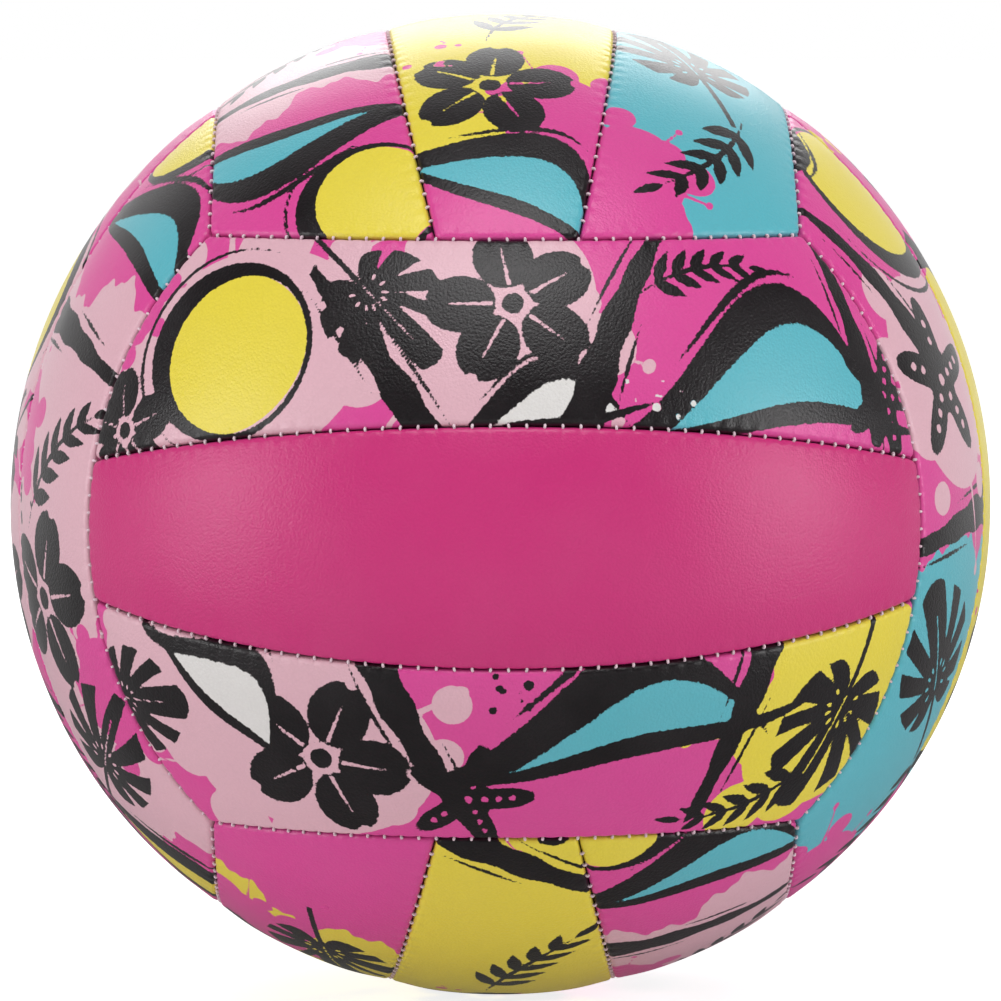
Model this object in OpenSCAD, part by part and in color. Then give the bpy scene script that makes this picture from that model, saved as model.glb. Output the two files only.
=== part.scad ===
// A soft beach volleyball: eighteen laminated panels stitched round an air bladder.
// The origin is the ball's centre. The plain middle panel faces -Y, the valve faces +Y, and +Z is up.
// Each of the six faces holds three parallel strips, and a strip runs across those of the next face.

/* [Ball] */
// Diameter over the crowns of the inflated ball
ball_d = 210; // [190:1:230]
// Angle that the middle strip of a face spans, seen from the ball's centre
middle_strip_angle = 26.8; // [22:0.2:34]

/* [Panel layers] */
// Thickness of the coated outer skin
cover_t = 0.8; // [0.5:0.05:1.5]
// Thickness of the foam sheet behind the skin
foam_t = 2.6; // [1.5:0.1:4]
// Thickness of the woven lining behind the foam
lining_t = 0.5; // [0.3:0.05:0.8]
// Thickness of the glue line between two layers
glue_t = 0.15; // [0.1:0.05:0.3]

/* [Seams] */
// Radius of the roll where a cover turns down into a seam
edge_roll_r = 3.6; // [2.8:0.1:5]
// Diameter of the sewing thread
thread_d = 0.5; // [0.3:0.05:0.8]
// Room between the thread and each of the two covers beside it
thread_clearance = 0.1; // [0.05:0.05:0.2]
// Depth of the thread's centre below the crowns
thread_depth = 1.7; // [1.4:0.1:2.5]

/* [Bladder] */
// Wall of the butyl bladder
bladder_t = 0.6; // [0.4:0.05:1]
// Room between the inflated bladder and the linings
bladder_clearance = 0.15; // [0.1:0.05:0.3]

/* [Valve] */
// Outside diameter of the valve housing's tube
housing_d = 9.2; // [8.8:0.1:11]
// Depth of the housing's top below the crowns
housing_recess = 0.4; // [0.3:0.1:1]
// Room between the housing and the layers that it passes through
housing_clearance = 0.15; // [0.1:0.05:0.3]
// Length that the housing's tube reaches into the air space past its flange
housing_tail = 6; // [4:0.5:9]
// Diameter of the flange that seals the housing to the bladder
flange_d = 26; // [20:1:34]
// Thickness of the flange
flange_t = 1.2; // [0.8:0.1:2]
// Diameter of the valve core's head
core_head_d = 6.4; // [6:0.1:7]
// Thickness of the valve core's head
core_head_t = 1.4; // [1:0.1:2]
// Diameter of the valve core's stem
core_stem_d = 4.8; // [4.4:0.1:5.2]
// Diameter of the valve core's inner tip
core_tip_d = 3.8; // [3.4:0.1:4.2]
// Length of the tapered inner tip
core_tip_l = 4; // [2:0.5:6]
// Length of the valve core over its head and tip
core_l = 20; // [18:0.5:24]
// Radial room between the valve core and the housing
core_clearance = 0.04; // [0.02:0.01:0.08]
// Depth of the core's top below the housing's top
core_recess = 0.2; // [0.1:0.05:0.4]
// Diameter of the inflating needle's passage
needle_bore_d = 2.1; // [1.9:0.05:2.3]
// Mouth diameter of the funnel that leads the needle in
funnel_d = 3.6; // [3.2:0.1:4]
// Depth of that funnel
funnel_depth = 0.8; // [0.5:0.1:1]

/* [Hidden] */
$fn = 96;

ball_r = ball_d / 2;
seam_gap = thread_d + 2 * thread_clearance;
foam_r = ball_r - cover_t - glue_t;
lining_r = foam_r - foam_t - glue_t;
wall_r = lining_r - lining_t;
bladder_r = wall_r - bladder_clearance;
air_r = bladder_r - bladder_t;
layer_inset = seam_gap / 2 + cover_t + glue_t;

// Polar angle of a face's end seams: the six cones meet in threes along the eight corners
end_angle = acos(1 / sqrt(3));
strip_half_angle = middle_strip_angle / 2;
// Angle along a strip seam from its middle to its end seam
strip_seam_half_angle = acos(cos(end_angle) / cos(strip_half_angle));
// Angle round an end seam's axis between two corners
corner_turn = 90;

thread_r = ball_r - thread_depth;
// The roll's top stands this much proud, so that it crosses the crown's ball at a slight angle
roll_lift = glue_t / 3;
housing_top = ball_r - housing_recess;
flange_r = air_r - glue_t;
housing_bottom = flange_r - flange_t - housing_tail;
core_top = housing_top - core_recess;
core_seat = core_top - core_head_t;
core_bottom = core_top - core_l;

// Each face: its name, its three strips, and the main colour of each strip's print
FACES = [
    ["front", ["upper", "middle", "lower"], ["pink", "mediumvioletred", "hotpink"]],
    ["back", ["upper", "middle", "lower"], ["gold", "mediumvioletred", "pink"]],
    ["left", ["back", "middle", "front"], ["hotpink", "pink", "hotpink"]],
    ["right", ["front", "middle", "back"], ["gold", "mediumturquoise", "hotpink"]],
    ["bottom", ["right", "middle", "left"], ["hotpink", "gold", "hotpink"]],
    ["top", ["right", "middle", "left"], ["mediumvioletred", "gold", "pink"]]
];
LAYERS = ["cover", "foam", "lining"];
STRIPS = [0, 1, 2];

function node_name(face, strip, layer) = str(face[0], "_", face[1][strip], "_", layer);

// Point at distance r from the centre and polar angle a from the upright axis
function polar(r, a) = [r * sin(a), r * cos(a)];

// Ball of radius r with a hollow of radius inner_r
module shell(r, inner_r) {
    difference() {
        sphere(r);
        sphere(inner_r);
    }
}

// Cone about the upright axis at an end seam's angle, with its flank moved in by inset
module end_cone(inset) {
    translate([0, 0, inset / sin(end_angle)])
        cylinder(r1 = 0, r2 = ball_d * tan(end_angle), h = ball_d);
}

// Half space above a strip seam's plane, tilted about X and moved in by inset
module half_space(tilt, inset) {
    rotate([tilt, 0, 0]) translate([-ball_d, -ball_d, inset]) cube(2 * ball_d);
}

// Ring that rounds the rim at polar angle a of a solid of radius r whose flank is moved in by inset.
// The roll's circle stands proud by roll_lift, so that it crosses both faces at a slight angle.
module roll_cutter(a, r, inset, roll_r) {
    inward = [-cos(a), sin(a)];
    along = [sin(a), cos(a)];
    side = inset + roll_r - roll_lift;
    centre_r = r + roll_lift - roll_r;
    centre = side * inward + sqrt(centre_r * centre_r - side * side) * along;
    outward = centre / centre_r;
    reach = 2 * roll_r;
    rotate_extrude() difference() {
        polygon([
            centre,
            centre + reach * outward,
            centre + reach * (outward - inward),
            centre - reach * inward
        ]);
        translate(centre) circle(roll_r);
    }
}

// One strip of the front face between two radii, with sharp rims and its flanks moved in by inset.
// 0 is the face's upper strip, 1 its middle and 2 its lower.
module sharp_strip(strip, r, inner_r, inset) {
    if (strip == 1) intersection() {
        shell(r, inner_r);
        rotate([90, 0, 0]) end_cone(inset);
        half_space(180 - strip_half_angle, inset);
        half_space(strip_half_angle, inset);
    }
    else difference() {
        intersection() {
            shell(r, inner_r);
            rotate([90, 0, 0]) end_cone(inset);
            half_space(-strip_half_angle, inset);
        }
        end_cone(-inset);
    }
}

// The same strip with its three rims rounded by roll_r, one after another
module strip_solid(strip, r, inner_r, inset, roll_r) {
    rims = strip == 1
        ? [[90, end_angle], [180 - strip_half_angle, 90], [strip_half_angle, 90]]
        : [[90, end_angle], [-strip_half_angle, 90], [180, 180 - end_angle]];
    module rim(i) {
        rotate([rims[i][0], 0, 0]) roll_cutter(rims[i][1], r, inset, roll_r);
    }
    rotate([0, strip == 2 ? 180 : 0, 0]) {
        if (roll_r == 0) sharp_strip(strip, r, inner_r, inset);
        else difference() {
            difference() {
                difference() {
                    sharp_strip(strip, r, inner_r, inset);
                    rim(0);
                }
                rim(1);
            }
            rim(2);
        }
    }
}

// Turns what is modelled on the front face to the named face
module on_face(name) {
    corner_axis = [1, 1, 1];
    if (name == "front") children();
    if (name == "back") rotate([0, 0, 180]) children();
    if (name == "left") rotate(a = -120, v = corner_axis) children();
    if (name == "right") rotate([0, 0, 180]) rotate(a = -120, v = corner_axis) children();
    if (name == "bottom") rotate(a = 120, v = corner_axis) children();
    if (name == "top") rotate([180, 0, 0]) rotate(a = 120, v = corner_axis) children();
}

// Cylinder on the valve's axis between two distances from the ball's centre
module valve_cylinder(d, low, high) {
    translate([0, low, 0]) rotate([-90, 0, 0]) cylinder(d = d, h = high - low);
}

// The hole that the layers of the valve's panel have for the housing
module housing_hole() {
    valve_cylinder(housing_d + 2 * housing_clearance, air_r / 2, ball_d);
}

// One layer of a panel between two radii, with the housing's hole where it belongs
module panel_layer(face, strip, r, inner_r, inset, roll_r) {
    difference() {
        on_face(face[0]) strip_solid(strip, r, inner_r, inset, roll_r);
        if (face[0] == "back" && strip == 1) housing_hole();
    }
}

// Outer skin, whose rims turn down into the seams as far as the lining reaches
module cover(face, strip) {
    inner_r = ball_r - cover_t;
    inset = seam_gap / 2;
    color(face[2][strip]) difference() {
        panel_layer(face, strip, ball_r, wall_r, inset, edge_roll_r);
        on_face(face[0])
            strip_solid(strip, inner_r, air_r, inset + cover_t, edge_roll_r - cover_t);
    }
}

module foam(face, strip) {
    roll_r = edge_roll_r - cover_t - glue_t;
    color("whitesmoke") panel_layer(face, strip, foam_r, foam_r - foam_t, layer_inset, roll_r);
}

module lining(face, strip) {
    color("ivory") panel_layer(face, strip, lining_r, wall_r, layer_inset, 0);
}

module layer_solid(face, strip, layer) {
    if (layer == "cover") cover(face, strip);
    if (layer == "foam") foam(face, strip);
    if (layer == "lining") lining(face, strip);
}

// Bent length of thread about the upright axis, centred on +X, at polar angle a
module thread_arc(a, half_turn) {
    rotate_extrude(angle = 2 * half_turn, start = -half_turn)
        translate(polar(thread_r, a)) circle(d = thread_d, $fn = 16);
}

// The two end seams of each face, which stop short of the corners by one thread
module end_seam_thread() {
    short_turn = asin(thread_d / (thread_r * sin(end_angle)));
    color("mistyrose") for (face = FACES, side = [0, 180])
        on_face(face[0]) rotate([90, 0, 0]) rotate([0, 0, side])
            thread_arc(end_angle, corner_turn / 2 - short_turn);
}

// The two seams between the strips of each face, which stop short of the end seams by one gap
module strip_seam_thread() {
    short_turn = asin(seam_gap / thread_r);
    color("mistyrose") for (face = FACES, tilt = [-strip_half_angle, strip_half_angle])
        on_face(face[0]) rotate([tilt, 0, 0]) rotate([0, 0, -90])
            thread_arc(90, strip_seam_half_angle - short_turn);
}

module bladder() {
    color("dimgray") difference() {
        sphere(bladder_r);
        sphere(air_r);
        valve_cylinder(housing_d + 2 * glue_t, air_r / 2, ball_d);
    }
}

// Tube that is moulded on a curved flange, which is cured to the inside of the bladder
module valve_housing() {
    bore_d = core_stem_d + 2 * core_clearance;
    head_bore_d = core_head_d + 2 * core_clearance;
    color("black") difference() {
        union() {
            valve_cylinder(housing_d, housing_bottom, housing_top);
            intersection() {
                difference() {
                    sphere(flange_r);
                    sphere(flange_r - flange_t);
                }
                valve_cylinder(flange_d, air_r / 2, ball_d);
            }
        }
        valve_cylinder(bore_d, 0, ball_d);
        valve_cylinder(head_bore_d, core_seat, ball_d);
    }
}

// Push-in rubber core: head, stem and tapered tip round the needle's passage
module valve_core() {
    head_r = core_head_d / 2;
    stem_r = core_stem_d / 2;
    tip_r = core_tip_d / 2;
    bore_r = needle_bore_d / 2;
    funnel_r = funnel_d / 2;
    color("black") rotate([-90, 0, 0]) rotate_extrude() polygon([
        [bore_r, core_bottom],
        [tip_r, core_bottom],
        [stem_r, core_bottom + core_tip_l],
        [stem_r, core_seat],
        [head_r, core_seat],
        [head_r, core_top],
        [funnel_r, core_top],
        [bore_r, core_top - funnel_depth]
    ]);
}

for (face = FACES, strip = STRIPS, layer = LAYERS)
    layer_solid(face, strip, layer);
end_seam_thread();
strip_seam_thread();
bladder();
valve_housing();
valve_core();
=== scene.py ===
"""Dresses a packed volleyball: eighteen printed covers, their stitches, the valve and a plain studio.

Lengths are in metres. The print's motifs alone are laid out in millimetres of the printed sheet.
"""

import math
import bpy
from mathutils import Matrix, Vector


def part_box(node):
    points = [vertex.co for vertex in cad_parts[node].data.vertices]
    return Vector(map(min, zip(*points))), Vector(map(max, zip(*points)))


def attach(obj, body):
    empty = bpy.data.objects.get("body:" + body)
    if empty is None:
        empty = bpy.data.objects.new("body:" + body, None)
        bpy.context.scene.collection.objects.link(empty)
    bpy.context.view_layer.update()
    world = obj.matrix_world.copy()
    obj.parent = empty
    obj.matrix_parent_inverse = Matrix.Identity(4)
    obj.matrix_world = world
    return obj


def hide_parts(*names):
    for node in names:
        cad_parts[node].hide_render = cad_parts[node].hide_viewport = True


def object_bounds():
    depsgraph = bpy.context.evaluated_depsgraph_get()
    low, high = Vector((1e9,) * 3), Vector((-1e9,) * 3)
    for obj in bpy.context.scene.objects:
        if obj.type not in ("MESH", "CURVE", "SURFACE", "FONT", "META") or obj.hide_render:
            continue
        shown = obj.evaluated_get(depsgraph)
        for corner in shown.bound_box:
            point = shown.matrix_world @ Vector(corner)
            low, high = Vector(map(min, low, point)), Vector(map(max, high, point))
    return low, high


bl_info = {
    "name": "Beach Volleyball",
    "version": (1, 0, 0),
    "blender": (4, 5, 0),
    "location": "View3D > Sidebar > Ball",
    "description": "Covers, stitches and valve of a sewn volleyball, round its packed model",
    "category": "Object",
}

import bmesh
import bpy
import numpy as np
from mathutils import Vector

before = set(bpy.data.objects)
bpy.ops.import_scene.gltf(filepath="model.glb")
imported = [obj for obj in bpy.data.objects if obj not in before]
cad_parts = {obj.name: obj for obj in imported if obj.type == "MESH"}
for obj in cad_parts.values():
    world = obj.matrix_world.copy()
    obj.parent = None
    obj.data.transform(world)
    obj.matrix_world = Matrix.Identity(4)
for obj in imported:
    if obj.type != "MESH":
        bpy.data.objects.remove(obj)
cad_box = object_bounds()

MM = 0.001
TAU = 2 * math.pi

# The end seams of a face lie at this angle round the face's own axis, so that three meet in a cube's corner.
END_ANGLE = math.acos(1 / math.sqrt(3))
CORNER_TURN = math.pi / 4

# What is laid out on the front face goes to the others by these turns, rows first.
FACE_TURNS = {
    "front": np.array([[1, 0, 0], [0, 1, 0], [0, 0, 1]]),
    "back": np.array([[-1, 0, 0], [0, -1, 0], [0, 0, 1]]),
    "left": np.array([[0, 1, 0], [0, 0, 1], [1, 0, 0]]),
    "right": np.array([[0, -1, 0], [0, 0, -1], [1, 0, 0]]),
    "bottom": np.array([[0, 0, 1], [1, 0, 0], [0, 1, 0]]),
    "top": np.array([[0, 0, 1], [-1, 0, 0], [0, -1, 0]]),
}
# The strips of each face, from the one that is laid out as the front's upper strip to its lower one
STRIP_NAMES = {
    "front": ("upper", "middle", "lower"),
    "back": ("upper", "middle", "lower"),
    "left": ("back", "middle", "front"),
    "right": ("front", "middle", "back"),
    "bottom": ("right", "middle", "left"),
    "top": ("right", "middle", "left"),
}
VALVE_PANEL = "back_middle"

# Scales of the fine patterns, in features per metre
BRISTLES = 1100.0
TWIST = 900.0
THREAD_SOIL = 320.0
FOAM_CELLS = 1400.0
WEAVE = 500.0
# Colours that dirt and wear mix into a finish, and the painted shade that darkens seams and the grain's pits
SCUFFED = (0.8, 0.72, 0.76, 1.0)
PAINTED_SHADE_TINT = (0.1, 0.018, 0.045, 1.0)
SOILED_THREAD = (0.45, 0.24, 0.32, 1.0)
FOAM_PORES = (0.45, 0.43, 0.36, 1.0)
WEAVE_GAPS = (0.36, 0.33, 0.26, 1.0)
RUBBER_DUST = (0.3, 0.29, 0.28, 1.0)

# The grain: wrinkles to a pebble's width, how high they stand, how deep it is between pebbles, and the
# heights at the bottom of its pits and at its tops, over which painted shade in the pits goes from fullest to
# none
WRINKLES = 2.2
WRINKLE_SHARE = 0.8
PEBBLE_SHARE = 0.7
GRAIN_HEIGHTS = (-0.15, 0.4)
RUBBER_GRAIN = {"Pebble Size": 0.35 * MM, "Swell Size": 3 * MM}
# Rubber finishes: least and most roughness, and the most that dust pales them
RUBBERS = {
    "valve_tube": (0.4, 0.54, 0.25),
    "valve_plug": (0.4, 0.54, 0.15),
    "bladder": (0.44, 0.58, 0.3),
}
# Ranges of a pattern over which it changes a finish from one state to the other
WEAR_RANGE = (0.18, 0.42)
THREAD_SOIL_RANGE = (0.35, 0.75)
MOST_THREAD_SOIL = 0.35
PORE_RANGE = (0.1, 0.5)
WEAVE_RANGE = (0.2, 0.9)
DUST_RANGE = (0.15, 0.45)
RUBBER_SWELL_RANGE = (0.3, 0.7)

# Cells of a cover's grid over each rolled rim, and cells of its skin to a cell of its inside
RIM_CELLS = 8
INSIDE_STRIDE = 8
# Points on the line of a seam, the share of a stitch that is left open at its ends, and steps round a stitch
SEAM_POINTS = 241
OPEN_END = 0.35
STITCH_STEPS = 6
# How far the hole's cutter stands above and below a cover, and how far its flare starts under the crown
CUTTER_REACH = 4 * MM
FLARE_SINK = 0.02 * MM
FLARE_POINTS = 7
# Steps round a turned piece and round the hole, and the distance at which their points are merged
TURNED_STEPS = 72
HOLE_STEPS = 96
MERGING = 1e-7
# Steps on a rounded corner, and the most of a side that it takes
CORNER_STEPS = 4
CORNER_SHARE = 0.45

# Softboxes: place, width and height, power in watts
SOFTBOXES = {
    "left_softbox": ((-1.15, -0.5, 0.13), (0.3, 0.8), 5.2),
    "right_softbox": ((1.15, -0.5, 0.13), (0.3, 0.8), 5.6),
    "top_softbox": ((0.0, -0.62, 1.1), (0.9, 0.7), 8.0),
    "back_softbox": ((0.0, 1.25, 0.75), (1.0, 0.6), 6.5),
}
# The floor: from its middle to its sides, the clouds to a metre in its colour, and their two greys
FLOOR_REACH = 60.0
FLOOR_CLOUDS = 3.0
FLOOR_GREYS = ((0.72, 0.72, 0.72, 1.0), (0.75, 0.75, 0.75, 1.0))
# Distance from the ball's centre at which reflections show the dimmest floor, whose colour is painted darkest
# there
DIM_FLOOR = 0.2
# How far a direction has to point backwards, from 0 to 1, before the wall behind the ball shows in it
BACK_WALL = 0.2
SENSOR_WIDTH = 36.0

# Inks of the print in the order in which they are laid on each other. The sheet under them is magenta.
INKS = ("pale", "yellow", "turquoise", "white", "black")
# In millimetres: the distance to an ink that isn't near, the farthest that a cover's points keep, the half
# width of an ink's soft edge, and what every stroke's half width loses so that its ends close
FAR = 9.0
FARTHEST_KEPT = 4.0
INK_BLUR = 0.07
HAIRLINE = 0.15

# Motifs of each strip design: kind, ink, place along and across the strip, size in millimetres, turn in
# degrees. An ink named magenta clears the inks that were laid before it.
DESIGNS = {
    "blossom": (
        ("splash", "pale", -56, 0, 33, 0),
        ("splash", "pale", -4, 2, 29, 60),
        ("splash", "magenta", -84, 17, 10, 60),
        ("sun", "yellow", -58, 1, 17, 150),
        ("blossom", "black", -87, -9, 13, 12),
        ("heart_leaf", "black", -28, 9, 19, -50),
        ("swash", "black", -28, -6, 50, 116),
        ("blossom", "black", 1, 5, 17, 30),
        ("wave", "white", 6, -20, 17, 12),
        ("swash", "black", 25, 2, 54, 70),
        ("wave", "turquoise", 56, -14, 29, 12),
        ("sprig", "black", 40, 13, 30, 20),
        ("starfish", "black", 86, -2, 14, 10),
        ("swash", "black", 78, 10, 46, 118),
        ("spatter", "white", 30, -15, 8, 0),
    ),
    "shore": (
        ("splash", "pale", 40, 2, 30, 10),
        ("splash", "pale", 78, -8, 20, 50),
        ("splash", "yellow", -74, 2, 30, 30),
        ("wave", "turquoise", -22, 0, 30, 186),
        ("heart_leaf", "black", -74, 2, 22, 56),
        ("sprig", "black", -50, 15, 34, 10),
        ("swash", "black", -50, -4, 52, 70),
        ("starfish", "black", 8, 9, 14, 40),
        ("blossom", "black", 38, 3, 18, 40),
        ("swash", "black", 17, -3, 54, 112),
        ("wave", "white", 64, -4, 17, 150),
        ("heart_leaf", "black", 88, 6, 18, 200),
        ("spatter", "black", -4, -17, 9, 0),
    ),
    "citrus": (
        ("band", "yellow", 0, 0, 76, 0),
        ("splash", "magenta", 62, 12, 18, 0),
        ("splash", "magenta", -56, -14, 18, 40),
        ("swash", "black", -30, 4, 54, 64),
        ("heart_leaf", "black", -62, 3, 22, 20),
        ("wave", "turquoise", 84, -4, 23, 60),
        ("blossom", "black", 50, -3, 17, 24),
        ("sprig", "black", 10, 7, 42, 150),
        ("spatter", "magenta", 30, -13, 11, 0),
    ),
    "reef": (
        ("band", "turquoise", -50, 0, 42, 0),
        ("splash", "magenta", -90, 8, 18, 0),
        ("heart_leaf", "black", -38, 2, 23, 30),
        ("sprig", "black", -72, -4, 40, 160),
        ("swash", "black", -7, 0, 56, 96),
        ("splash", "pale", 26, 2, 27, 20),
        ("starfish", "black", 26, 3, 19, 0),
        ("sun", "yellow", 70, -4, 18, 200),
        ("swash", "black", 48, 15, 48, 20),
        ("wave", "pale", 96, 10, 19, 100),
    ),
    "bloom": (
        ("band", "pale", 12, 0, 62, 0),
        ("splash", "magenta", 36, 19, 15, 0),
        ("splash", "magenta", -20, -19, 14, 30),
        ("wave", "turquoise", -60, 6, 25, 70),
        ("blossom", "black", 16, -2, 19, 20),
        ("heart_leaf", "black", 52, 3, 22, 130),
        ("sprig", "black", -12, 7, 40, 130),
        ("swash", "black", -38, -2, 54, 78),
        ("wave", "yellow", 84, -6, 24, 20),
        ("sun", "yellow", -92, -4, 14, 90),
        ("spatter", "black", -4, -17, 10, 0),
    ),
}
# Each printed panel's design, whether it is turned end for end, and how far its cut is moved along the strip
PRINTED = {
    "front_upper": ("blossom", False, 0),
    "front_lower": ("shore", False, 0),
    "top_left": ("bloom", False, 8),
    "top_middle": ("citrus", False, 6),
    "top_right": ("reef", True, 10),
    "bottom_left": ("citrus", True, 22),
    "bottom_middle": ("citrus", False, -60),
    "bottom_right": ("bloom", False, -10),
    "left_front": ("bloom", False, 0),
    "left_middle": ("blossom", True, 14),
    "left_back": ("shore", False, -12),
    "right_front": ("reef", False, 4),
    "right_middle": ("citrus", True, -16),
    "right_back": ("blossom", False, -20),
    "back_upper": ("shore", False, 16),
    "back_middle": ("bloom", True, 26),
    "back_lower": ("reef", False, -8),
}


def wobble(number):
    """A fixed number from -1 to 1 that looks random from one whole number to the next"""
    return math.sin(12.9898 * number + 78.233 * math.sin(number))


def disc(x, y, radius):
    return np.hypot(x, y) - radius


def capped(x, half_length, half_width):
    """Half width of a stroke that narrows to nothing at both of its ends"""
    share = np.clip(np.abs(x) / half_length, 0, 1)
    return half_width * np.sqrt(1 - share ** 2) * (1 - 0.35 * share) - HAIRLINE


def splash(x, y, size, seed):
    """Poured paint with a scalloped edge, a few runs and drops round it"""
    field = disc(x / 1.25, y, 0.7 * size)
    lobes = 13
    for k in range(lobes):
        turn = TAU * (k + 0.35 * wobble(seed + k)) / lobes
        reach = size * (0.72 + 0.16 * wobble(seed + 3 * k))
        lobe = size * (0.2 + 0.07 * wobble(seed + 7 * k))
        field = np.minimum(field, disc(x - 1.25 * reach * math.cos(turn), y - reach * math.sin(turn), lobe))
    for k in range(6):
        turn = TAU * (k + 0.4 * wobble(seed + 11 * k)) / 6
        along = (x / 1.25 * math.cos(turn) + y * math.sin(turn)) / size
        across = (y * math.cos(turn) - x / 1.25 * math.sin(turn)) / size
        end = 1.12 + 0.16 * wobble(seed + 5 * k)
        half_width = 0.035 * (1.3 - np.clip(along, 0, 1))
        run = np.maximum(np.abs(across) - half_width, np.abs(along - end / 2) - end / 2)
        field = np.minimum(field, size * np.minimum(run, disc(along - end, across, 0.045)))
    return field


def band(x, y, size, seed):
    """A band right across the strip, whose two ends are wavy"""
    wave = 3.4 * np.sin(0.22 * y + seed) + 1.5 * np.sin(0.63 * y + 2 * seed) + 0.5 * np.sin(1.7 * y)
    return 0.8 * (np.abs(x + wave) - size)


def crest(x, size, seed):
    """Height of a wave's back over its foot, steep on one side, which runs on past its ends"""
    share = x / size
    return size * (0.66 + 0.1 * wobble(seed)) * (1 - share ** 2) * (1 + 0.72 * share)


def wave(x, y, size, seed):
    """Block between a wave's back and its nearly straight foot"""
    foot = 0.05 * size * np.sin(3 * x / size + seed)
    return np.maximum(0.75 * np.maximum(y - crest(x, size, seed), foot - y), np.abs(x) - size)


def wave_lines(x, y, size, seed):
    """Brushed lines along a wave's back and foot, which run on past its ends"""
    foot = 0.05 * size * np.sin(3 * x / size + seed)
    over_back = y - crest(x, size, seed)
    back = 0.62 * np.abs(over_back) - capped(x + 0.12 * size, 1.22 * size, 0.12 * size)
    lower = np.abs(y - foot) - capped(x - 0.2 * size, 1.35 * size, 0.085 * size)
    spray = 0.62 * np.abs(over_back - 0.24 * size) - capped(x + 0.1 * size, 0.6 * size, 0.03 * size)
    return np.minimum(np.minimum(back, lower), spray)


def sun(x, y, size, seed):
    return disc(x, y, size * (1 + 0.02 * np.sin(3 * np.arctan2(y, x) + seed)))


def sun_lines(x, y, size, seed):
    """Ring of a loaded brush that runs dry, with a second thin ring outside it"""
    turn = np.arctan2(y, x)
    share = 0.5 + 0.5 * np.cos(turn)
    ring = np.abs(disc(x, y, 1.05 * size)) - size * (0.035 + 0.13 * share ** 2)
    thin = np.abs(disc(x - 0.05 * size, y, 1.32 * size)) - size * 0.03 * np.clip(share * 2 - 0.9, 0, 1)
    return np.minimum(ring, np.where(share > 0.46, thin, FAR))


def blossom(x, y, size, seed):
    """Five notched petals about an open ring"""
    petals = 5
    field = disc(x, y, 0.2 * size)
    for k in range(petals):
        turn = TAU * k / petals + 0.1 * wobble(seed + k)
        along = x * math.cos(turn) + y * math.sin(turn)
        across = y * math.cos(turn) - x * math.sin(turn)
        petal = 0.34 * size * (np.hypot((along - 0.62 * size) / (0.42 * size), across / (0.36 * size)) - 1)
        notch = disc(along - 1.08 * size, across, 0.1 * size)
        half_width = 0.035 * size * (1 - along / size)
        vein = np.maximum(np.abs(across) - half_width, np.abs(along - 0.5 * size) - 0.26 * size)
        field = np.minimum(field, np.maximum(petal, -np.minimum(notch, vein)))
    ring = np.abs(disc(x, y, 0.17 * size)) - 0.04 * size
    return np.maximum(field, -ring)


def heart_leaf(x, y, size, seed):
    """Heart-shaped leaf with a few wide partings, holes beside its rib and a short stalk"""
    y = y / 0.86
    reach, turn, side = np.hypot(x, y), np.abs(np.arctan2(y, x)), np.abs(y)
    rim = size * (0.72 + 0.26 * np.cos(turn) + 0.14 * np.exp(-(turn / 0.3) ** 2))
    rim = rim - size * 0.42 * np.exp(-((turn - math.pi) / 0.34) ** 2)
    field = 0.85 * (reach - rim)
    for k, lean in enumerate((0.45, 0.95, 1.5, 2.1)):
        lean = lean + 0.06 * wobble(seed + k)
        along = x * math.cos(lean) + side * math.sin(lean)
        across = side * math.cos(lean) - x * math.sin(lean) + 0.16 * along ** 2 / size
        start = (0.34 + 0.05 * wobble(seed + 3 * k)) * size
        parting = np.abs(across) - 0.2 * (along - start)
        hole = np.hypot(along - 0.2 * size, 2.2 * across) - 0.045 * size
        gap = np.minimum(parting, np.where(along < start, hole, FAR))
        field = np.maximum(field, -np.maximum(gap, -along))
    rib = np.maximum(side - 0.012 * size, np.abs(x - 0.2 * size) - 0.55 * size)
    stalk = np.maximum(side - 0.035 * size, np.abs(x + 0.55 * size) - 0.45 * size)
    return np.minimum(np.maximum(field, -rib), stalk)


def sprig(x, y, size, seed):
    """Bowed stem with pairs of pointed leaflets and one at its tip"""
    y = y - 0.1 * size * (1 - (2 * x / size) ** 2)
    field = np.abs(y) - capped(x + 0.04 * size, 0.52 * size, 0.018 * size + HAIRLINE)
    pairs = 5
    for k in range(pairs + 1):
        at = size * (-0.34 + 0.15 * k)
        lean = 0 if k == pairs else 0.75 - 0.05 * k
        length = size * (0.13 - 0.008 * k)
        across = np.abs(y) if k < pairs else y
        du = (x - at) * math.cos(lean) + across * math.sin(lean) - length
        dv = across * math.cos(lean) - (x - at) * math.sin(lean)
        half_width = 0.32 * length * (1 - np.clip(du / length, -1, 1) ** 2) * (1 - 0.3 * du / length)
        field = np.minimum(field, np.maximum(np.abs(dv) - half_width, np.abs(du) - length))
    return field


def starfish(x, y, size, seed):
    """Five rounded arms with a row of dots down each"""
    turn = np.arctan2(y, x)
    arms = (0.5 + 0.5 * np.cos(5 * turn)) ** 1.4
    field = 0.55 * (np.hypot(x, y) - size * (0.36 + 0.6 * arms))
    for k in range(15):
        way, out = TAU * (k // 3) / 5, size * (0.24 + 0.2 * (k % 3))
        field = np.maximum(field, -disc(x - out * math.cos(way), y - out * math.sin(way), 0.05 * size))
    return np.maximum(field, -disc(x, y, 0.07 * size))


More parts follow.
